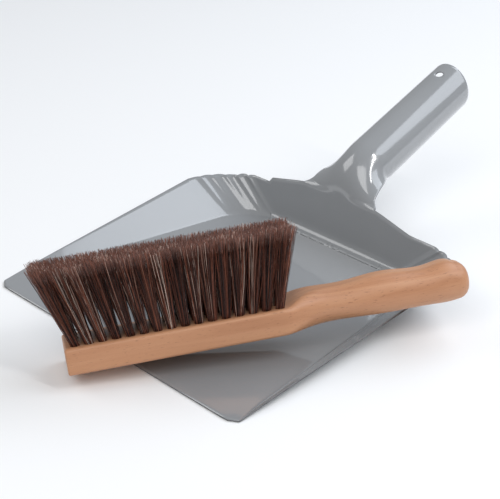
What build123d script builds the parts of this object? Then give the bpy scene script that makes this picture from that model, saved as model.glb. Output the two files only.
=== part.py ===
from build123d import *

# Dust pan and brush set: a steel dust pan pressed from one sheet with its handle rolled from the same
# sheet, and a beech hand brush with drilled tuft holes, lying on its back across the pan's lip.
# Millimetres, +Z up, +Y from the pan's lip towards its handle. The origin is on the underside of the
# pan's floor, midway between the lip and the rear fold.

import os
from math import cos, pi, radians, sin, sqrt, tan

# Pan sheet
SHEET = 0.8                    # steel thickness
LIP_HALF = 120.0               # half the width of the lip
REAR_HALF = 85.5               # half the floor's width at the rear fold
FLOOR_DEPTH = 214.0            # lip to rear fold
LIP_CORNER_R = 10.0            # rounding of the lip's two ends, in plan
FLARE = 1.385                  # outward run of a side wall per unit of height
BACK_LEAN = 0.11               # backward run of the rear wall per unit of height
FLOOR_CORNER_R = 36.0          # rear corner radius at the floor
CORNER_R_GAIN = 0.35           # growth of that radius per unit of height
FLUTE_COUNT = 6                # pressed flutes that gather the sheet round each rear corner
FLUTE_GAIN = 0.04              # depth of a flute per unit of height
POINTS_PER_FLUTE = 8
BLANK_HEIGHT = 45.0            # height of the walls before the rim is trimmed
OVERRUN = 5.0                  # how far a cutting solid reaches past what it cuts
PAN_REACH = 160.0              # beyond the widest point of the rim

# Rim, as height above the underside of the floor
LIP_RIM = 1.1                  # side wall at the lip
SIDE_RIM_SLOPE = 0.126         # rise of the side rim per unit of depth
LEFT_RIM = [(179.0, 23.7), (209.0, 24.2), (216.0, 26.7)]    # depth and height round the left corner
RIGHT_RIM = [(175.0, 23.2), (206.0, 30.5)]                  # depth and height round the right corner
CORNER_RIM = 30.1              # rear rim where it starts to climb
CORNER_RIM_HALF = 70.4         # half width of the rear rim there
TAB_RIM = 38.4                 # rear wall where the handle leaves it
TAB_HALF = 35.0                # half width of the handle's tab at the rear wall

# Pan handle, an open-seam tube
HANDLE_TILT = 21.2             # degrees above horizontal
HANDLE_R = 18.6                # outer radius
HANDLE_TAB_HALF = 30.0         # half the developed width where the sheet leaves the rear wall
HANDLE_WRAP = 147.0            # degrees from the crest to each long edge
HANDLE_BEND_R = 41.6           # bend of the crest from the rear wall into the handle
CURL_START = -8.0              # crest length where the tab starts to curl
CURL_END = -6.0                # crest length from the bend's end where the tube is fully curled
SPREAD_START = 10.0            # crest length where the sheet starts to widen
SPREAD_END = 35.0              # crest length from the bend's end where the sheet is at full width
TAB_CURL_R = 400.0             # curl radius of the tab at the rear wall
TAB_OVERLAP = 1.5              # how far the handle's solid reaches down into the rear wall
CURL_STATIONS = 14             # sections through the curling part
HANDLE_STRAIGHT = 100.5        # crest length beyond the bend
HANDLE_TAPER = 0.8             # loss of radius from the bend to the end
END_SLANT = 14.6               # degrees by which the cut end leans back below the crest
HOLE_R = 3.1                   # hanging hole
HOLE_FROM_END = 13.0           # hole centre to the crest's end

# Brush stock, in its own frame: X from the block's free end to the handle, Z from back to bristle face
BLOCK_LENGTH = 136.5
BLOCK_WIDTH = 40.0
BLOCK_THICK = 17.0
BLOCK_EDGE_R = 2.2
STOCK_LENGTH = 261.5
HANDLE_END_R = 8.0
HANDLE_SECTIONS = [            # station, width, height, height of centre, corner radius
    (147.5, 35.5, 19.8, 9.8, 6.0),
    (157.5, 30.5, 22.4, 11.1, 9.5),
    (168.5, 28.5, 22.4, 11.3, 10.8),
    (190.5, 29.5, 24.0, 11.4, 11.5),
    (214.5, 30.5, 25.4, 11.5, 12.2),
    (240.0, 30.5, 25.6, 11.3, 12.3),
]
DOME_WIDTH = 29.0              # section where the rounded end starts
DOME_HEIGHT = 24.4
DOME_CENTRE = 11.2
DOME_CORNER_R = 11.7

# Tufts
TUFT_COLUMNS = 16
TUFT_ROWS = 4
COLUMN_START = 7.0
COLUMN_PITCH = 8.6
ROW_PITCH = 8.8
TIP_ROW_PITCH = 10.2
TUFT_HOLE_R = 3.0
TUFT_HOLE_DEPTH = 11.0
DRILL_OVERRUN = 2.0
DRILL_ALIGN = (Align.CENTER, Align.CENTER, Align.MAX)
TUFT_R = 2.9
TUFT_ROOT_DEPTH = 9.4          # below the bristle face
BRISTLE_LENGTH = 50.0          # above the bristle face
FAN_START = -17.0              # lean of the first column, in degrees
FAN_END = 12.0                 # lean of the last column
TUFT_GAP = 0.3                 # gap between neighbouring tips
TUFT_TIP_R = 1.2               # corner radius of a tuft's square tip
WIRE_LENGTH = 5.6              # flat anchor wire that pins each folded tuft
WIRE_THICK = 0.5
WIRE_HEIGHT = 1.6
WIRE_DEPTH = 7.8               # its centre below the bristle face
WIRE_CLEARANCE = 0.05

# How the brush lies on the pan
BRUSH_START = (8.8, -37.7, 5.3)    # centre of the back face at the free end, from the lip's centre
BRUSH_HEADING = 58.5           # plan direction of the stock, degrees from +X
BRUSH_PITCH = 4.9              # rise of the stock towards its handle, degrees
BRUSH_ROLL = 16.0              # lean of the bristles towards the pan's left wall, degrees


def tray_outline(z, inset, front_y):
    """The tray's outline at height z, moved inwards by the horizontal insets (side, back)."""
    inset_side, inset_back = inset
    narrowing = (LIP_HALF - REAR_HALF) / FLOOR_DEPTH
    back_y = FLOOR_DEPTH + BACK_LEAN * z - inset_back
    radius = FLOOR_CORNER_R + CORNER_R_GAIN * z - inset_back

    def side_x(y):
        return LIP_HALF - narrowing * y + FLARE * z - inset_side

    side_length = sqrt(1.0 + narrowing ** 2)
    tangent = radius * (side_length - narrowing)
    start_y = back_y - tangent / side_length
    centre = (side_x(back_y) - tangent, back_y - radius)

    def corner_point(part):
        angle = narrowing + (pi / 2.0 - narrowing) * part
        flute = FLUTE_GAIN * z * (1.0 - cos(2.0 * pi * FLUTE_COUNT * part)) / 2.0
        reach = radius - flute
        return (centre[0] + reach * cos(angle), centre[1] + reach * sin(angle))

    steps = FLUTE_COUNT * POINTS_PER_FLUTE
    corner = [corner_point(index / steps) for index in range(steps + 1)]
    corner[0] = (side_x(start_y), start_y)
    mirrored = [(-x, y) for x, y in corner]
    front_x = side_x(front_y)
    edges = [
        Line((-front_x, front_y), (front_x, front_y)),
        Line((front_x, front_y), corner[0]),
        Spline(*corner, tangents=[(-narrowing, 1.0), (-1.0, 0.0)]),
        Line(corner[-1], mirrored[-1]),
        Spline(*mirrored[::-1], tangents=[(-1.0, 0.0), (-narrowing, -1.0)]),
        Line(mirrored[0], (-front_x, front_y)),
    ]
    return Plane.XY.offset(z) * make_face(edges)


def tray_shell():
    """Floor and walls as a thin open tray, before the rim is trimmed."""
    side_inset = SHEET * sqrt(1.0 + FLARE ** 2)
    inset = (side_inset, SHEET)
    top = BLANK_HEIGHT + SHEET
    outer = loft([tray_outline(0.0, (0.0, 0.0), 0.0), tray_outline(BLANK_HEIGHT, (0.0, 0.0), 0.0)])
    inner = loft([tray_outline(SHEET, inset, -OVERRUN), tray_outline(top, inset, -OVERRUN)])
    return outer - inner


def side_envelope(corner, side):
    """Everything below the rim on one side: the wall's slope, then the corner's own points."""
    behind = FLOOR_DEPTH + 2.0 * OVERRUN
    profile = Polyline(
        (-OVERRUN, -OVERRUN),
        (-OVERRUN, LIP_RIM - OVERRUN * SIDE_RIM_SLOPE),
        *corner,
        (behind, corner[-1][1]),
        (behind, -OVERRUN),
        close=True,
    )
    return extrude(Plane.YZ * make_face(profile), amount=side * PAN_REACH)


def rim_envelope():
    """Everything below the rim, with the raised tab in the middle of the rear wall."""
    foot = CORNER_RIM - 2.0 * OVERRUN
    tab_profile = Polyline(
        (-CORNER_RIM_HALF, foot),
        (-CORNER_RIM_HALF, CORNER_RIM),
        (-TAB_HALF, TAB_RIM),
        (TAB_HALF, TAB_RIM),
        (CORNER_RIM_HALF, CORNER_RIM),
        (CORNER_RIM_HALF, foot),
        close=True,
    )
    behind_corners = Plane.XZ.offset(-FLOOR_DEPTH + 3.0 * OVERRUN)
    tab = extrude(behind_corners * make_face(tab_profile), amount=-5.0 * OVERRUN)
    return side_envelope(LEFT_RIM, -1.0) + side_envelope(RIGHT_RIM, 1.0) + tab


def plan_envelope():
    """Plan region of the pan, with the lip's two ends rounded."""
    half = LIP_HALF + FLARE * LIP_RIM
    behind = FLOOR_DEPTH + 4.0 * OVERRUN
    outline = Polyline(
        (-half, 0.0), (half, 0.0), (PAN_REACH, PAN_REACH / 2.0), (PAN_REACH, behind),
        (-PAN_REACH, behind), (-PAN_REACH, PAN_REACH / 2.0),
        close=True,
    )
    face = make_face(outline)
    lip_ends = [corner for corner in face.vertices() if abs(corner.Y) < 0.01]
    return extrude(fillet(lip_ends, LIP_CORNER_R), amount=BLANK_HEIGHT)


def handle_crest(length):
    """Crest point at a length from the rear wall's top, and the crest's angle above +Y there."""
    lean = pi / 2.0 - BACK_LEAN
    bent = min(max(length, 0.0), handle_bend_length())
    angle = lean - bent / HANDLE_BEND_R
    beyond = length - bent
    y = FLOOR_DEPTH + BACK_LEAN * TAB_RIM - SHEET
    y += HANDLE_BEND_R * (sin(lean) - sin(angle)) + beyond * cos(angle)
    z = TAB_RIM + HANDLE_BEND_R * (cos(angle) - cos(lean)) + beyond * sin(angle)
    return Vector(0.0, y, z), angle


def handle_bend_length():
    """Length of crest over which the sheet turns from the rear wall to the handle's tilt."""
    return HANDLE_BEND_R * (pi / 2.0 - BACK_LEAN - radians(HANDLE_TILT))


def blend(start, end, part):
    """Smooth step from start to end as part goes from 0 to 1."""
    part = min(max(part, 0.0), 1.0)
    return start + (end - start) * part * part * (3.0 - 2.0 * part)


def handle_section(length):
    """Curled strip across the handle: wide and nearly flat at the wall, an open tube beyond it."""
    origin, angle = handle_crest(length)
    bend = handle_bend_length()
    beyond = max(length - bend, 0.0) / HANDLE_STRAIGHT
    curled = (length - CURL_START) / (bend + CURL_END - CURL_START)
    curl = blend(1.0 / TAB_CURL_R, 1.0 / HANDLE_R, curled)
    radius = 1.0 / curl - HANDLE_TAPER * beyond
    spread = (length - SPREAD_START) / (bend + SPREAD_END - SPREAD_START)
    half_width = blend(HANDLE_TAB_HALF, HANDLE_R * radians(HANDLE_WRAP), spread)
    wrap = min(half_width / radius, radians(HANDLE_WRAP))
    inner = radius - SHEET

    def at(reach, part):
        turn = wrap * part
        return (reach * sin(turn), reach * cos(turn) - radius)

    steps = [step / 6.0 for step in range(-6, 7)]
    outside = [at(radius, step) for step in steps]
    inside = [at(inner, -step) for step in steps]
    edges = [
        Spline(*outside),
        Line(outside[-1], inside[0]),
        Spline(*inside),
        Line(inside[-1], outside[0]),
    ]
    across = Plane(origin=origin, x_dir=(1, 0, 0), z_dir=(0, -cos(angle), -sin(angle)))
    return across * make_face(edges)


def pan_handle():
    """The rolled handle, with its slanted end and the hanging hole through the crest."""
    bend = handle_bend_length()
    end = bend + HANDLE_STRAIGHT
    curling = bend + SPREAD_END
    stations = [curling * step / CURL_STATIONS for step in range(CURL_STATIONS, 0, -1)]
    tube = loft([handle_section(station) for station in [end, *stations, -TAB_OVERLAP]], ruled=True)
    tip, angle = handle_crest(end)
    slant = angle - radians(END_SLANT)
    end_plane = Plane(origin=tip, x_dir=(1, 0, 0), z_dir=(0, cos(slant), sin(slant)))
    tube -= extrude(end_plane * Rectangle(80.0, 160.0), amount=40.0)
    hole_at, _ = handle_crest(end - HOLE_FROM_END)
    crest_plane = Plane(origin=hole_at, x_dir=(1, 0, 0), z_dir=(0, -sin(angle), cos(angle)))
    return tube - crest_plane * Cylinder(HOLE_R, 8.0)


def dustpan():
    """The whole pan: one sheet from the lip to the end of the handle."""
    tray = tray_shell() & rim_envelope() & plan_envelope()
    return tray + pan_handle()


def brush_frame():
    """Frame of the lying brush: X along the stock, Z from its back to the bristle face."""
    heading = radians(BRUSH_HEADING)
    pitch = radians(BRUSH_PITCH)
    roll = radians(BRUSH_ROLL)
    along = Vector(cos(pitch) * cos(heading), cos(pitch) * sin(heading), sin(pitch))
    side = Vector(sin(heading), -cos(heading), 0.0)
    upright = side.cross(along)
    up = upright * cos(roll) - side * sin(roll)
    return Plane(origin=BRUSH_START, x_dir=along, z_dir=up)


def stock_section(station, width, height, centre, corner):
    """Rounded section across the stock, centred above its back face."""
    return Plane.YZ.offset(station) * Pos(0.0, centre) * RectangleRounded(width, height, corner)


def dome_section(start, turn):
    """Section of the handle's rounded end, a number of degrees round its quarter-circle profile."""
    lost = HANDLE_END_R * (1.0 - cos(radians(turn)))
    reach = HANDLE_END_R * sin(radians(turn))
    width = DOME_WIDTH - 2.0 * lost
    height = DOME_HEIGHT - 2.0 * lost
    return stock_section(start + reach, width, height, DOME_CENTRE, DOME_CORNER_R - lost)


def tuft_axes():
    """Foot and direction of every tuft, as rows of columns."""
    axes = []
    for column in range(TUFT_COLUMNS):
        lean = FAN_START + (FAN_END - FAN_START) * column / (TUFT_COLUMNS - 1)
        foot_x = COLUMN_START + COLUMN_PITCH * column
        tip_dx = BRISTLE_LENGTH * tan(radians(lean))
        for row in range(TUFT_ROWS):
            place = row - (TUFT_ROWS - 1) / 2.0
            foot = Vector(foot_x, place * ROW_PITCH, BLOCK_THICK)
            rise = Vector(tip_dx, place * (TIP_ROW_PITCH - ROW_PITCH), BRISTLE_LENGTH)
            axes.append((column, row, foot, rise))
    return axes


def tuft_plane(foot, rise):
    """Plane at a tuft's foot, square to the tuft, with Y across the stock."""
    return Plane(origin=foot, x_dir=Vector(0, 1, 0).cross(rise), z_dir=rise)


def brush_stock():
    """Beech block and handle in one piece, with a blind hole for each tuft."""
    half = BLOCK_THICK / 2.0
    block = extrude(stock_section(0.0, BLOCK_WIDTH, BLOCK_THICK, half, BLOCK_EDGE_R), amount=BLOCK_LENGTH)
    block = fillet(block.edges().group_by(Axis.X)[0], BLOCK_EDGE_R * 0.6)
    dome_start = STOCK_LENGTH - HANDLE_END_R
    handle = loft([
        stock_section(BLOCK_LENGTH, BLOCK_WIDTH, BLOCK_THICK, half, BLOCK_EDGE_R),
        *[stock_section(*section) for section in HANDLE_SECTIONS],
        dome_section(dome_start, 0.0),
    ])
    dome = loft([dome_section(dome_start, turn) for turn in range(0, 91, 15)], ruled=True)
    stock = block + handle + dome
    for _, _, foot, rise in tuft_axes():
        mouth = tuft_plane(foot, rise).offset(DRILL_OVERRUN)
        stock -= mouth * Cylinder(TUFT_HOLE_R, TUFT_HOLE_DEPTH + DRILL_OVERRUN, align=DRILL_ALIGN)
    return stock


def anchor_wire(foot, rise, clearance):
    """Flat wire across the bottom of a tuft's hole; with clearance it is the room the wire needs."""
    wire = Box(WIRE_THICK + clearance, WIRE_LENGTH + 10.0 * clearance, WIRE_HEIGHT + clearance)
    return tuft_plane(foot, rise) * Pos(0.0, 0.0, -WIRE_DEPTH) * wire


def tuft(foot, rise):
    """Folded bundle of bristles: a round root in the hole, opening to a square of trimmed tips."""
    fan_step = tan(radians((FAN_END - FAN_START) / (TUFT_COLUMNS - 1)))
    tip_length = COLUMN_PITCH + BRISTLE_LENGTH * fan_step - TUFT_GAP
    tip_width = TIP_ROW_PITCH - TUFT_GAP
    root = RectangleRounded(2.0 * TUFT_R, 2.0 * TUFT_R, 0.98 * TUFT_R)
    depth = TUFT_ROOT_DEPTH / BRISTLE_LENGTH
    bundle = loft([
        Pos(*(foot - rise * depth)) * root,
        Pos(*foot) * root,
        Pos(*(foot + rise)) * RectangleRounded(tip_length, tip_width, TUFT_TIP_R),
    ], ruled=True)
    return bundle - anchor_wire(foot, rise, 2.0 * WIRE_CLEARANCE)


def in_place(shape):
    """Moves a shape from the pan's lip frame to the part's own frame."""
    return Pos(0.0, -FLOOR_DEPTH / 2.0, 0.0) * shape


def write(name, shape):
    """Writes one node."""
    export_step(in_place(shape), f"parts/{name}.step")


def main():
    os.makedirs("parts", exist_ok=True)
    brush = brush_frame()
    columns = [[] for _ in range(TUFT_COLUMNS)]
    rows = [[] for _ in range(TUFT_ROWS)]
    for column, row, foot, rise in tuft_axes():
        columns[column].append(brush * tuft(foot, rise))
        rows[row].append(brush * anchor_wire(foot, rise, 0.0))
    write("dustpan", dustpan())
    write("brush_stock", brush * brush_stock())
    for index, tufts in enumerate(columns):
        write(f"tuft_column_{index + 1:02d}", Compound(children=tufts))
    for index, wires in enumerate(rows):
        write(f"anchor_wires_row_{index + 1}", Compound(children=wires))


main()
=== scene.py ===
import math
import random

import bmesh
import bpy
from mathutils import Matrix, Vector


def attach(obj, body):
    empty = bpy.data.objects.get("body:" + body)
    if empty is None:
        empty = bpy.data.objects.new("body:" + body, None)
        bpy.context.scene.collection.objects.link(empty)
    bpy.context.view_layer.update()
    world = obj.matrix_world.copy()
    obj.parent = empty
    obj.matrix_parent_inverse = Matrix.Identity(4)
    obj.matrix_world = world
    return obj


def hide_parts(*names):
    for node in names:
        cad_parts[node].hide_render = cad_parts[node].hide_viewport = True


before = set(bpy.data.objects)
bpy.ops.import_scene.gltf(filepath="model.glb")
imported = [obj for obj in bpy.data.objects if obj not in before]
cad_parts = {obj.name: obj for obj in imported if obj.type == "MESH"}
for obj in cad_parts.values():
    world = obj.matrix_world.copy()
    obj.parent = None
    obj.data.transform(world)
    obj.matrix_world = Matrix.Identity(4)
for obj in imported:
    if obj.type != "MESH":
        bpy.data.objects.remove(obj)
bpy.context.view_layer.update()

# Dust pan and brush set. The pan is rebuilt as one continuous sheet with real bends and flutes, and
# each column of tufts as separate bristles. The stock and the anchor wires keep their CAD shapes.

MM = 0.001
SEED = 7

# The pan's sheet, in millimetres from the lip's centre, as in the CAD model
SHEET = 0.8
LIP_HALF = 120.0
REAR_HALF = 85.5
FLOOR_DEPTH = 214.0
LIP_CORNER_R = 10.0
FLARE = 1.385
BACK_LEAN = 0.11
FLOOR_CORNER_R = 36.0
CORNER_R_GAIN = 0.35
SIDE_BEND = 2.2                # reach of the fold between floor and side wall
BACK_BEND = 6.5                # reach of the fold between floor and rear wall
FLUTES = 6
FLUTE_GAIN = 0.05
FLUTE_FOOT = 2.0               # height below which a corner has no flutes
FLUTE_SOFTNESS = 0.02          # rounding of the creases between flutes
FLUTE_FADE = 6.0               # inverse of the share of the corner over which flutes start and end
LIP_EASE = 30.0                # depth over which the lip's rounded ends are taken up

LIP_RIM = 1.1
SIDE_RIM_SLOPE = 0.126
LEFT_RIM = [(179.0, 23.7), (209.0, 24.2), (216.0, 26.7)]
RIGHT_RIM = [(175.0, 23.2), (206.0, 30.5)]
CORNER_RIM = 30.1
TAB_RIM = 38.4
CORNER_RIM_HALF = 70.4
TAB_HALF = 35.0

# The rolled handle
HANDLE_TILT = math.radians(21.2)
HANDLE_R = 18.6
HANDLE_TAB_HALF = 30.0
TAB_FILLET = 5.0               # extra half width where the handle's tab meets the rear wall
TAB_FILLET_LENGTH = 7.0
FLAT_CURL = 0.0001             # curvature of the tab where it leaves the wall
HANDLE_WRAP = math.radians(147.0)
HANDLE_BEND_R = 41.6
CURL_START = -8.0
CURL_END = -6.0
SPREAD_START = 10.0
SPREAD_END = 35.0
HANDLE_STRAIGHT = 100.5
HANDLE_TAPER = 0.8
END_SLANT = 0.26               # backward run of the cut end per unit of depth below the crest
END_CORNER = 5.0               # how far the two corners of the cut end are rounded back
HOLE_R = 3.1
HOLE_FROM_END = 13.0

# Mesh divisions of the sheet
SIDE_COLUMNS = 36
FLUTE_STEPS = 8
BACK_COLUMNS = 8
HANDLE_COLUMNS = 24
WALL_ROWS = 10
BEND_ROWS = 5
HANDLE_ROW_PITCH = 1.3
RIM_PASSES = 12

# The brush, in its own frame: X along the stock, Z from its back to the bristle face
BRUSH_START = Vector((8.8, -37.7, 5.3))
BRUSH_HEADING = math.radians(58.5)
BRUSH_PITCH = math.radians(4.9)
BRUSH_ROLL = math.radians(16.0)
BLOCK_THICK = 17.0
TUFT_COLUMNS = 16
TUFT_ROWS = 4
COLUMN_START = 7.0
COLUMN_PITCH = 8.6
ROW_PITCH = 8.8
TIP_ROW_PITCH = 10.2
BRISTLE_LENGTH = 50.0
FAN_START = -17.0
FAN_END = 12.0
TUFT_R = 2.75
FIBRES = 165
FIBRE_R = (0.11, 0.19)
FIBRE_STEPS = 5
FIBRE_SIDES = 3
FIBRE_TAPER = 0.35             # share of its radius that a bristle loses towards its tip

# The stage, in metres
FLOOR_HALF = 3.0
FLOOR_DROP = 0.0005            # gap that keeps the floor from meeting the pan's underside

# The camera's place round the object
VIEW_ELEVATION = 0.476
VIEW_AZIMUTH = 0.7639
VIEW_DISTANCE = 1.02576
VIEW_TARGET = Vector((-0.03647, 0.05606, 0.0))
VIEW_LENS = 100.8


def to_frame(point):
    """Millimetres from the lip's centre to metres in the part's frame."""
    return Vector((point[0], point[1] - FLOOR_DEPTH / 2.0, point[2])) * MM


def blend(start, end, part):
    """Smooth step from start to end as part goes from 0 to 1."""
    part = min(max(part, 0.0), 1.0)
    return start + (end - start) * part * part * (3.0 - 2.0 * part)


def new_object(name, mesh, materials):
    """Links a mesh as a shown object."""
    piece = bpy.data.objects.new(name, mesh)
    bpy.context.scene.collection.objects.link(piece)
    for material in materials:
        mesh.materials.append(material)
    return piece


# ---------------------------------------------------------------- pan shape

NARROWING = (LIP_HALF - REAR_HALF) / FLOOR_DEPTH
SIDE_INSET = SHEET * math.sqrt(1.0 + FLARE ** 2)


def corner_at(z):
    """Centre and radius of the right rear corner's inner face at height z, and the depth it starts at."""
    back_y = FLOOR_DEPTH + BACK_LEAN * z - SHEET
    radius = FLOOR_CORNER_R + CORNER_R_GAIN * z - SHEET
    side_length = math.sqrt(1.0 + NARROWING ** 2)
    tangent = radius * (side_length - NARROWING)
    side_x = LIP_HALF - NARROWING * back_y + FLARE * z - SIDE_INSET
    return (side_x - tangent, back_y - radius), radius, back_y - tangent / side_length


def side_point(part, z):
    """Inner face of the right side wall, from the lip to the corner."""
    _, _, start_y = corner_at(z)
    y = start_y * part
    return Vector((LIP_HALF - NARROWING * y + FLARE * z - SIDE_INSET, y, z))


def corner_point(part, z):
    """Inner face of the fluted corner, from the side wall to the rear wall."""
    centre, radius, _ = corner_at(z)
    angle = NARROWING + (math.pi / 2.0 - NARROWING) * part
    crease = math.sqrt(math.sin(math.pi * FLUTES * part) ** 2 + FLUTE_SOFTNESS)
    ends = min(1.0, FLUTE_FADE * part, FLUTE_FADE * (1.0 - part))
    depth = FLUTE_GAIN * max(z - FLUTE_FOOT, 0.0) * ends * (1.0 + 0.5 * part)
    reach = radius - depth * max(1.0 - crease, 0.0)
    return Vector((centre[0] + reach * math.cos(angle), centre[1] + reach * math.sin(angle), z))


def back_point(x_top, z):
    """Inner face of the rear wall under the rim point at x_top."""
    centre, _, _ = corner_at(z)
    top_centre, _, _ = corner_at(CORNER_RIM)
    tab = HANDLE_TAB_HALF + TAB_FILLET
    x = x_top
    if x_top > tab:
        x = tab + (x_top - tab) / (top_centre[0] - tab) * (centre[0] - tab)
    return Vector((x, FLOOR_DEPTH + BACK_LEAN * z - SHEET, z))


def rim_height(point, side):
    """Height of the rim at a point of the walls; side is 1 for the right wall and -1 for the left."""
    x, y = abs(point.x), point.y
    if x < CORNER_RIM_HALF and y > FLOOR_DEPTH - 15.0:
        climb = (CORNER_RIM_HALF - x) / (CORNER_RIM_HALF - TAB_HALF)
        return CORNER_RIM + (TAB_RIM - CORNER_RIM) * min(climb, 1.0)
    corner = RIGHT_RIM if side > 0.0 else LEFT_RIM
    if y <= corner[0][0]:
        return LIP_RIM + SIDE_RIM_SLOPE * y
    for (y0, z0), (y1, z1) in zip(corner, corner[1:]):
        if y < y1:
            return z0 + (z1 - z0) * (y - y0) / (y1 - y0)
    return corner[-1][1]


def wall_stations():
    """Function of height and fold reach at each place from the lip to the centre line."""
    stations = []
    for index in range(SIDE_COLUMNS):
        part = (index / (SIDE_COLUMNS - 1.0)) ** 1.2
        stations.append((lambda z, part=part: side_point(part, z), SIDE_BEND))
    steps = FLUTES * FLUTE_STEPS
    for index in range(1, steps + 1):
        part = index / steps
        bend = blend(SIDE_BEND, BACK_BEND, part)
        stations.append((lambda z, part=part: corner_point(part, z), bend))
    top_x = corner_at(CORNER_RIM)[0][0]
    tab = HANDLE_TAB_HALF + TAB_FILLET
    for index in range(1, BACK_COLUMNS + 1):
        x = top_x + (tab - top_x) * index / BACK_COLUMNS
        stations.append((lambda z, x=x: back_point(x, z), BACK_BEND))
    for index in range(HANDLE_COLUMNS - 1, -1, -1):
        x = tab * index / HANDLE_COLUMNS
        stations.append((lambda z, x=x: back_point(x, z), BACK_BEND))
    return stations


def wall_profile(station, side):
    """Points from the floor's edge, round the bend and up the wall to the rim."""
    at, bend = station
    rim = 15.0
    for _ in range(RIM_PASSES):
        rim = rim_height(at(rim), side)
    foot = at(SHEET)
    top = at(rim)
    wall = top - foot
    reach = min(bend, wall.length * 0.45)
    outward = Vector((wall.x, wall.y, 0.0))
    if outward.length < 0.12 * wall.length or foot.y > FLOOR_DEPTH - 1.5:
        outward = Vector((0.0, 1.0, 0.0))
    start = foot - outward.normalized() * reach
    end = foot + wall.normalized() * reach
    points = []
    for index in range(BEND_ROWS + 1):
        t = index / BEND_ROWS
        points.append(start * (1 - t) ** 2 + foot * 2 * t * (1 - t) + end * t ** 2)
    low = end.z
    for index in range(1, WALL_ROWS + 1):
        points.append(at(low + (rim - low) * index / WALL_ROWS) if low < rim else end)
    return points


def round_lip(point):
    """Pulls the two ends of the lip back onto their rounded corners."""
    over = abs(point.x) - (LIP_HALF + FLARE * LIP_RIM - LIP_CORNER_R)
    if over <= 0.0 or point.y > LIP_EASE:
        return point
    over = min(over, LIP_CORNER_R * 0.999)
    back = LIP_CORNER_R - math.sqrt(LIP_CORNER_R ** 2 - over ** 2)
    return Vector((point.x, point.y + back * (1.0 - point.y / LIP_EASE), point.z))


def handle_crest(length):
    """Crest point at a length from the rear wall's top, and the crest's angle above +Y."""
    lean = math.pi / 2.0 - BACK_LEAN
    bend = HANDLE_BEND_R * (lean - HANDLE_TILT)
    bent = min(max(length, 0.0), bend)
    angle = lean - bent / HANDLE_BEND_R
    beyond = length - bent
    y = FLOOR_DEPTH + BACK_LEAN * TAB_RIM - SHEET
    y += HANDLE_BEND_R * (math.sin(lean) - math.sin(angle)) + beyond * math.cos(angle)
    z = TAB_RIM + HANDLE_BEND_R * (math.cos(angle) - math.cos(lean)) + beyond * math.sin(angle)
    return Vector((0.0, y, z)), angle, bend


def handle_point(length, part):
    """Outer face of the handle at a crest length; part runs from -1 to 1 across the sheet."""
    _, _, bend = handle_crest(0.0)
    end = bend + HANDLE_STRAIGHT
    curled = (length - CURL_START) / (bend + CURL_END - CURL_START)
    curl = blend(FLAT_CURL, 1.0 / HANDLE_R, curled)
    beyond = max(length - bend, 0.0) / HANDLE_STRAIGHT
    curl = 1.0 / (1.0 / curl - HANDLE_TAPER * beyond)
    widened = (length - SPREAD_START) / (bend + SPREAD_END - SPREAD_START)
    half = blend(HANDLE_TAB_HALF, HANDLE_R * HANDLE_WRAP, widened)
    half += TAB_FILLET * max(1.0 - length / TAB_FILLET_LENGTH, 0.0) ** 2
    turn = min(half * curl, HANDLE_WRAP) * part
    across = math.sin(turn) / curl
    drop = (1.0 - math.cos(turn)) / curl
    corner = END_CORNER * max((abs(part) - 0.9) / 0.1, 0.0) ** 2
    back = (END_SLANT * drop + corner) * max((length - bend) / (end - bend), 0.0)
    crest, angle, _ = handle_crest(length - back)
    return crest + Vector((across, drop * math.sin(angle), -drop * math.cos(angle)))


def sheet_profiles():
    """Wall profiles all round the pan, from the lip's right end to its left end."""
    stations = wall_stations()
    right_half = [wall_profile(station, 1.0) for station in stations]
    left_half = [wall_profile(station, -1.0) for station in stations]
    mirrored = [[Vector((-p.x, p.y, p.z)) for p in profile] for profile in left_half[-2::-1]]
    return right_half + mirrored


def add_walls(bm, profiles):
    """Walls of the pan, as rows of vertices from the floor's edge to the rim."""
    walls = [[bm.verts.new(round_lip(p)) for p in profile] for profile in profiles]
    for left, right in zip(walls, walls[1:]):
        for row in range(len(left) - 1):
            bm.faces.new((left[row], left[row + 1], right[row + 1], right[row]))
    return walls


def add_floor(bm, walls, profiles):
    """Floor of the pan: rows from wall to wall, starting at the rear fold."""
    back_first = len(walls) // 2 - HANDLE_COLUMNS - BACK_COLUMNS
    back_line = [wall[0] for wall in walls[back_first:len(walls) - back_first]]
    span = back_line[0].co.x
    parts = [vert.co.x / span for vert in back_line]
    previous = back_line
    for index in range(back_first - 1, -1, -1):
        right, left = walls[index][0], walls[-1 - index][0]
        row = [right]
        for part in parts[1:-1]:
            base = Vector((right.co.x * part, profiles[index][0].y, SHEET))
            row.append(bm.verts.new(round_lip(base)))
        row.append(left)
        for a, b, c, d in zip(previous, previous[1:], row[1:], row):
            bm.faces.new((a, b, c, d))
        previous = row


def add_handle(bm, walls):
    """Handle of the pan, growing from the top of the rear wall."""
    first = len(walls) // 2 - HANDLE_COLUMNS
    previous = [wall[-1] for wall in walls[first:first + 2 * HANDLE_COLUMNS + 1]]
    _, _, bend = handle_crest(0.0)
    end = bend + HANDLE_STRAIGHT
    lengths = [HANDLE_ROW_PITCH * step for step in range(1, int(end / HANDLE_ROW_PITCH))] + [end]
    for length in lengths:
        row = []
        for column in range(2 * HANDLE_COLUMNS + 1):
            row.append(bm.verts.new(handle_point(length, 1.0 - column / HANDLE_COLUMNS)))
        for a, b, c, d in zip(previous, row, row[1:], previous[1:]):
            bm.faces.new((a, b, c, d))
        previous = row
    punch_hole(bm, end - HOLE_FROM_END)


def face_inwards(bm):
    """Turns every face towards the inside of the tray, judged by one face of the floor."""
    bmesh.ops.recalc_face_normals(bm, faces=bm.faces)
    bm.faces.ensure_lookup_table()
    middle = to_frame((0.0, 100.0, 0.0))
    floor_face = min(bm.faces, key=lambda face: (face.calc_center_median() - middle).length)
    if floor_face.normal.z < 0.0:
        bmesh.ops.reverse_faces(bm, faces=bm.faces)


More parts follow.
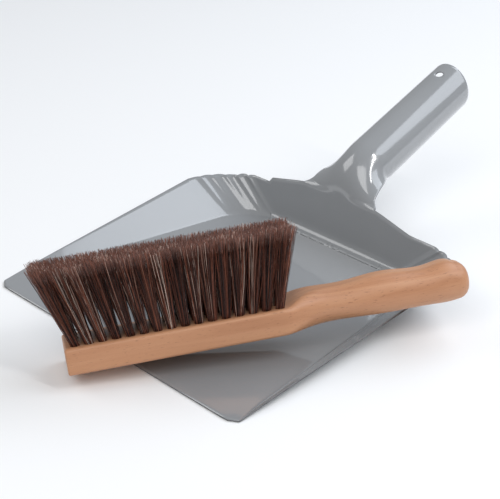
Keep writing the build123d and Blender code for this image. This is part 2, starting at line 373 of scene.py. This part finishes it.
def build_pan(paint, edge):
    """The pan: one continuous sheet from the lip to the end of the handle."""
    mesh = bpy.data.meshes.new("pan_sheet")
    bm = bmesh.new()
    profiles = sheet_profiles()
    walls = add_walls(bm, profiles)
    add_floor(bm, walls, profiles)
    add_handle(bm, walls)
    for vert in bm.verts:
        vert.co = to_frame(vert.co)
    face_inwards(bm)
    for face in bm.faces:
        face.smooth = True
    bm.to_mesh(mesh)
    bm.free()
    pan = new_object("pan_sheet", mesh, [paint, edge])
    solid = pan.modifiers.new("sheet_thickness", "SOLIDIFY")
    solid.thickness = SHEET * MM
    solid.offset = -1.0
    solid.material_offset_rim = 1
    solid.use_even_offset = False
    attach(pan, "pan")
    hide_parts("dustpan")


def punch_hole(bm, length):
    """Opens the round hanging hole in the handle's crest."""
    centre, _, _ = handle_crest(length)
    near = [face for face in bm.faces if (face.calc_center_median() - centre).length < HOLE_R]
    edge = set()
    for face in near:
        edge.update(face.verts)
    bmesh.ops.delete(bm, geom=near, context="FACES")
    for vert in [vert for vert in edge if vert.is_valid and vert.is_boundary]:
        away = vert.co - centre
        vert.co = centre + away.normalized() * HOLE_R


# ---------------------------------------------------------------- brush

def brush_frame():
    """Matrix from the brush's own millimetres to metres in the part's frame."""
    along = Vector((
        math.cos(BRUSH_PITCH) * math.cos(BRUSH_HEADING),
        math.cos(BRUSH_PITCH) * math.sin(BRUSH_HEADING),
        math.sin(BRUSH_PITCH),
    ))
    side = Vector((math.sin(BRUSH_HEADING), -math.cos(BRUSH_HEADING), 0.0))
    upright = side.cross(along)
    up = upright * math.cos(BRUSH_ROLL) - side * math.sin(BRUSH_ROLL)
    turn = Matrix((along, up.cross(along), up)).transposed().to_4x4()
    return Matrix.Translation(to_frame(BRUSH_START)) @ turn @ Matrix.Scale(MM, 4)


def fibre_path(foot, rise, tile, rng):
    """Centre line of one bristle: out of its hole, then fanning towards its share of the tips."""
    turn = rng.uniform(0.0, 2.0 * math.pi)
    reach = TUFT_R * math.sqrt(rng.random())
    root = Vector((reach * math.cos(turn), reach * math.sin(turn), 0.0))
    tip = Vector((root.x / TUFT_R * tile[0] * 0.66, root.y / TUFT_R * tile[1] * 0.66, 0.0))
    tip += Vector((rng.gauss(0.0, 0.95), rng.gauss(0.0, 0.95), 0.0))
    trim = 1.0 + rng.uniform(-0.02, 0.01)
    bow = Vector((rng.gauss(0.0, 0.6), rng.gauss(0.0, 0.6), 0.0))
    points = []
    for step in range(FIBRE_STEPS + 1):
        t = step / FIBRE_STEPS
        ease = t ** 1.35
        point = foot + rise * (t * trim * 1.04 - 0.04) + root * (1.0 - ease) + tip * ease
        points.append(point + bow * math.sin(math.pi * t))
    return points


def add_fibre(verts, faces, shades, points, radius, shade):
    """Adds one bristle, with FIBRE_SIDES sides and a cut tip."""
    first = len(verts)
    along = (points[-1] - points[0]).normalized()
    across = along.orthogonal().normalized()
    other = along.cross(across)
    last = len(points) - 1
    for index, point in enumerate(points):
        width = radius * (1.0 - FIBRE_TAPER * index / last)
        for side in range(FIBRE_SIDES):
            turn = 2.0 * math.pi * side / FIBRE_SIDES + shade * 6.0
            verts.append(point + (across * math.cos(turn) + other * math.sin(turn)) * width)
            shades.append((shade, index / last))
    for index in range(last):
        for side in range(FIBRE_SIDES):
            a = first + index * FIBRE_SIDES + side
            b = first + index * FIBRE_SIDES + (side + 1) % FIBRE_SIDES
            faces.append((a, b, b + FIBRE_SIDES, a + FIBRE_SIDES))
    top = first + last * FIBRE_SIDES
    faces.append(tuple(range(top, top + FIBRE_SIDES)))


def build_tufts(matrix, bristle):
    """One piece of separate bristles for each column of tufts."""
    rng = random.Random(SEED)
    fan_step = math.tan(math.radians((FAN_END - FAN_START) / (TUFT_COLUMNS - 1)))
    tile = (COLUMN_PITCH + BRISTLE_LENGTH * fan_step, TIP_ROW_PITCH)
    for column in range(TUFT_COLUMNS):
        verts, faces, shades = [], [], []
        lean = FAN_START + (FAN_END - FAN_START) * column / (TUFT_COLUMNS - 1)
        tip_dx = BRISTLE_LENGTH * math.tan(math.radians(lean))
        for row in range(TUFT_ROWS):
            place = row - (TUFT_ROWS - 1) / 2.0
            foot = Vector((COLUMN_START + COLUMN_PITCH * column, place * ROW_PITCH, BLOCK_THICK))
            rise = Vector((tip_dx, place * (TIP_ROW_PITCH - ROW_PITCH), BRISTLE_LENGTH))
            tone = rng.gauss(0.0, 0.08)
            for _ in range(FIBRES):
                points = fibre_path(foot, rise, tile, rng)
                shade = min(max(rng.random() + tone, 0.0), 1.0)
                add_fibre(verts, faces, shades, points, rng.uniform(*FIBRE_R), shade)
        name = f"bristles_{column + 1:02d}"
        mesh = bpy.data.meshes.new(name)
        mesh.from_pydata([matrix @ vert for vert in verts], [], faces)
        for label, item in (("shade", 0), ("along", 1)):
            layer = mesh.attributes.new(label, "FLOAT", "POINT")
            layer.data.foreach_set("value", [value[item] for value in shades])
        mesh.polygons.foreach_set("use_smooth", [True] * len(mesh.polygons))
        piece = new_object(name, mesh, [bristle])
        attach(piece, "brush")
        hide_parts(f"tuft_column_{column + 1:02d}")


# ---------------------------------------------------------------- materials

def new_material(name):
    """An empty node material and its shader."""
    material = bpy.data.materials.new(name)
    material.use_nodes = True
    shader = material.node_tree.nodes["Principled BSDF"]
    return material, material.node_tree, shader


def noise(tree, coords, scale, detail=4.0, roughness=0.5, distortion=0.0):
    """A noise texture on the given coordinates."""
    node = tree.nodes.new("ShaderNodeTexNoise")
    node.inputs["Scale"].default_value = scale
    node.inputs["Detail"].default_value = detail
    node.inputs["Roughness"].default_value = roughness
    node.inputs["Distortion"].default_value = distortion
    tree.links.new(coords, node.inputs["Vector"])
    return node.outputs["Fac"]


def ramp(tree, value, stops):
    """A colour ramp with the given stops."""
    node = tree.nodes.new("ShaderNodeValToRGB")
    elements = node.color_ramp.elements
    while len(elements) < len(stops):
        elements.new(0.5)
    for element, (place, colour) in zip(elements, stops):
        element.position = place
        element.color = (*colour, 1.0)
    tree.links.new(value, node.inputs["Fac"])
    return node.outputs["Color"]


def spread(tree, value, low, high):
    """Maps 0 to 1 onto low to high."""
    node = tree.nodes.new("ShaderNodeMapRange")
    node.inputs["To Min"].default_value = low
    node.inputs["To Max"].default_value = high
    tree.links.new(value, node.inputs["Value"])
    return node.outputs["Result"]


def mix(tree, factor, first, second, mode="MIX"):
    """Mixes two colours."""
    node = tree.nodes.new("ShaderNodeMix")
    node.data_type = "RGBA"
    node.blend_type = mode
    for socket, value in ((node.inputs[0], factor), (node.inputs[6], first), (node.inputs[7], second)):
        if isinstance(value, (float, tuple)):
            socket.default_value = value
        else:
            tree.links.new(value, socket)
    return node.outputs[2]


def bump(tree, shader, height, strength, distance):
    """Drives the shader's normal with a height."""
    node = tree.nodes.new("ShaderNodeBump")
    node.inputs["Strength"].default_value = strength
    node.inputs["Distance"].default_value = distance
    tree.links.new(height, node.inputs["Height"])
    tree.links.new(node.outputs["Normal"], shader.inputs["Normal"])


def object_coords(tree, matrix=None):
    """Object coordinates, turned into the brush's own frame if its matrix is given."""
    coords = tree.nodes.new("ShaderNodeTexCoord").outputs["Object"]
    if matrix is None:
        return coords
    mapping = tree.nodes.new("ShaderNodeMapping")
    mapping.vector_type = "TEXTURE"
    mapping.inputs["Location"].default_value = matrix.to_translation()
    mapping.inputs["Rotation"].default_value = matrix.to_euler()
    tree.links.new(coords, mapping.inputs["Vector"])
    return mapping.outputs["Vector"]


def stretched(tree, coords, scale):
    """Coordinates scaled by a different amount along each axis."""
    node = tree.nodes.new("ShaderNodeMapping")
    node.inputs["Scale"].default_value = scale
    tree.links.new(coords, node.inputs["Vector"])
    return node.outputs["Vector"]


def paint_material():
    """Glossy grey stove enamel: faint orange peel, clouding, and fine rubbed patches."""
    material, tree, shader = new_material("grey_enamel")
    coords = object_coords(tree)
    cloud = noise(tree, coords, 9.0, 5.0)
    base = ramp(tree, cloud, [(0.3, (0.265, 0.275, 0.285)), (0.7, (0.295, 0.305, 0.315))])
    tree.links.new(base, shader.inputs["Base Color"])
    rubbed = noise(tree, coords, 35.0, 6.0, 0.7)
    tree.links.new(spread(tree, rubbed, 0.08, 0.2), shader.inputs["Roughness"])
    shader.inputs["Coat Weight"].default_value = 1.0
    shader.inputs["Coat Roughness"].default_value = 0.03
    shader.inputs["Specular IOR Level"].default_value = 0.75
    peel = noise(tree, coords, 420.0, 2.0)
    bump(tree, shader, peel, 0.04, 0.0005)
    return material


def edge_material():
    """The sheet's cut edge, where the paint is thin and darker."""
    material, tree, shader = new_material("cut_edge")
    coords = object_coords(tree)
    worn = noise(tree, coords, 160.0, 4.0)
    colour = ramp(tree, worn, [(0.4, (0.09, 0.09, 0.095)), (0.75, (0.2, 0.2, 0.21))])
    tree.links.new(colour, shader.inputs["Base Color"])
    tree.links.new(spread(tree, worn, 0.35, 0.6), shader.inputs["Roughness"])
    return material


def beech_material(matrix):
    """Steamed beech, lightly waxed: long soft grain, short dark ray flecks, open fine pores."""
    material, tree, shader = new_material("beech")
    frame_coords = object_coords(tree, matrix)
    long_grain = stretched(tree, frame_coords, (9.0, 120.0, 120.0))
    wave = noise(tree, long_grain, 1.0, 6.0, 0.6, 0.8)
    base = ramp(tree, wave, [
        (0.3, (0.40, 0.175, 0.082)),
        (0.5, (0.52, 0.255, 0.13)),
        (0.7, (0.60, 0.32, 0.175)),
    ])
    broad = noise(tree, stretched(tree, frame_coords, (3.0, 28.0, 28.0)), 1.0, 3.0)
    bands = ramp(tree, broad, [(0.35, (0.0,) * 3), (0.7, (0.6,) * 3)])
    tinted = mix(tree, bands, base, (0.44, 0.2, 0.1, 1.0))
    flecks = noise(tree, stretched(tree, frame_coords, (260.0, 1500.0, 1500.0)), 1.0, 2.0)
    marks = ramp(tree, flecks, [(0.62, (0.0,) * 3), (0.72, (0.55,) * 3)])
    colour = mix(tree, marks, tinted, (0.2, 0.08, 0.04, 1.0))
    tree.links.new(colour, shader.inputs["Base Color"])
    tree.links.new(spread(tree, wave, 0.38, 0.56), shader.inputs["Roughness"])
    shader.inputs["Coat Weight"].default_value = 0.12
    shader.inputs["Coat Roughness"].default_value = 0.3
    bump(tree, shader, flecks, 0.12, 0.0004)
    return material


def bristle_material():
    """Dark dyed fibre: black-brown to chestnut, with a few pale hairs and paler cut tips."""
    material, tree, shader = new_material("bristle")
    shade = tree.nodes.new("ShaderNodeAttribute")
    shade.attribute_name = "shade"
    base = ramp(tree, shade.outputs["Fac"], [
        (0.0, (0.008, 0.003, 0.003)),
        (0.4, (0.035, 0.010, 0.006)),
        (0.75, (0.15, 0.040, 0.020)),
        (0.93, (0.30, 0.105, 0.06)),
        (0.99, (0.8, 0.62, 0.52)),
    ])
    along = tree.nodes.new("ShaderNodeAttribute")
    along.attribute_name = "along"
    tips = ramp(tree, along.outputs["Fac"], [(0.85, (0.0,) * 3), (1.0, (0.35,) * 3)])
    colour = mix(tree, tips, base, (0.25, 0.1, 0.065, 1.0))
    tree.links.new(colour, shader.inputs["Base Color"])
    tree.links.new(spread(tree, shade.outputs["Fac"], 0.22, 0.42), shader.inputs["Roughness"])
    shader.inputs["Specular IOR Level"].default_value = 0.45
    return material


def wire_material():
    """Drawn steel with fine lengthwise lines."""
    material, tree, shader = new_material("anchor_wire_steel")
    coords = object_coords(tree)
    lines = noise(tree, coords, 2500.0, 2.0)
    tree.links.new(spread(tree, lines, 0.25, 0.5), shader.inputs["Roughness"])
    shader.inputs["Base Color"].default_value = (0.55, 0.55, 0.56, 1.0)
    shader.inputs["Metallic"].default_value = 1.0
    return material


def dress_node(name, material):
    """Gives a CAD node its finished material."""
    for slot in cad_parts[name].material_slots:
        slot.material = material


# ---------------------------------------------------------------- stage

def build_stage():
    """Plain pale floor."""
    mesh = bpy.data.meshes.new("floor")
    half = FLOOR_HALF
    corners = [(-half, -half, 0.0), (half, -half, 0.0), (half, half, 0.0), (-half, half, 0.0)]
    mesh.from_pydata(corners, [], [(0, 1, 2, 3)])
    material, _, shader = new_material("pale_floor")
    shader.inputs["Base Color"].default_value = (0.9, 0.9, 0.9, 1.0)
    shader.inputs["Roughness"].default_value = 0.9
    shader.inputs["Specular IOR Level"].default_value = 0.1
    floor = new_object("floor", mesh, [material])
    floor.location.z = -FLOOR_DROP


def softbox(name, direction, distance, size, power, colour=(1.0, 1.0, 1.0)):
    """A rectangular light aimed at the object."""
    light = bpy.data.lights.new(name, "AREA")
    light.shape = "RECTANGLE"
    light.size, light.size_y = size
    light.energy = power
    light.color = colour
    lamp = bpy.data.objects.new(name, light)
    way = Vector(direction).normalized()
    lamp.location = way * distance
    lamp.rotation_euler = way.to_track_quat("Z", "Y").to_euler()
    bpy.context.scene.collection.objects.link(lamp)


def build_lights():
    """Soft studio light: a pale surround and large soft boxes."""
    world = bpy.data.worlds.new("studio")
    world.use_nodes = True
    background = world.node_tree.nodes["Background"]
    background.inputs["Color"].default_value = (0.95, 0.97, 1.0, 1.0)
    background.inputs["Strength"].default_value = 0.36
    bpy.context.scene.world = world
    bpy.context.scene.view_settings.view_transform = "Standard"
    softbox("sky_panel", (0.23, 0.615, 0.75), 1.6, (2.0, 1.1), 17.0, (0.86, 0.92, 1.0))
    softbox("key_panel", (0.5, -0.75, 0.9), 1.8, (1.2, 1.2), 11.0)
    softbox("side_panel", (-0.8, -0.5, 0.8), 1.8, (0.8, 0.8), 4.0)
    softbox("handle_strip", (0.64, 0.14, 0.75), 1.5, (0.1, 0.8), 4.0)


def build_camera():
    """The camera at the viewing angle."""
    way = Vector((
        math.cos(VIEW_ELEVATION) * math.cos(VIEW_AZIMUTH),
        -math.cos(VIEW_ELEVATION) * math.sin(VIEW_AZIMUTH),
        math.sin(VIEW_ELEVATION),
    ))
    data = bpy.data.cameras.new("camera")
    data.sensor_width = 36.0
    data.lens = VIEW_LENS
    camera = bpy.data.objects.new("camera", data)
    camera.location = VIEW_TARGET + way * VIEW_DISTANCE
    camera.rotation_euler = way.to_track_quat("Z", "Y").to_euler()
    bpy.context.scene.collection.objects.link(camera)
    bpy.context.scene.camera = camera


def main():
    build_camera()
    build_lights()
    build_stage()
    matrix = brush_frame()
    build_pan(paint_material(), edge_material())
    build_tufts(matrix, bristle_material())
    dress_node("brush_stock", beech_material(matrix))
    wire = wire_material()
    for row in range(TUFT_ROWS):
        dress_node(f"anchor_wires_row_{row + 1}", wire)


main()
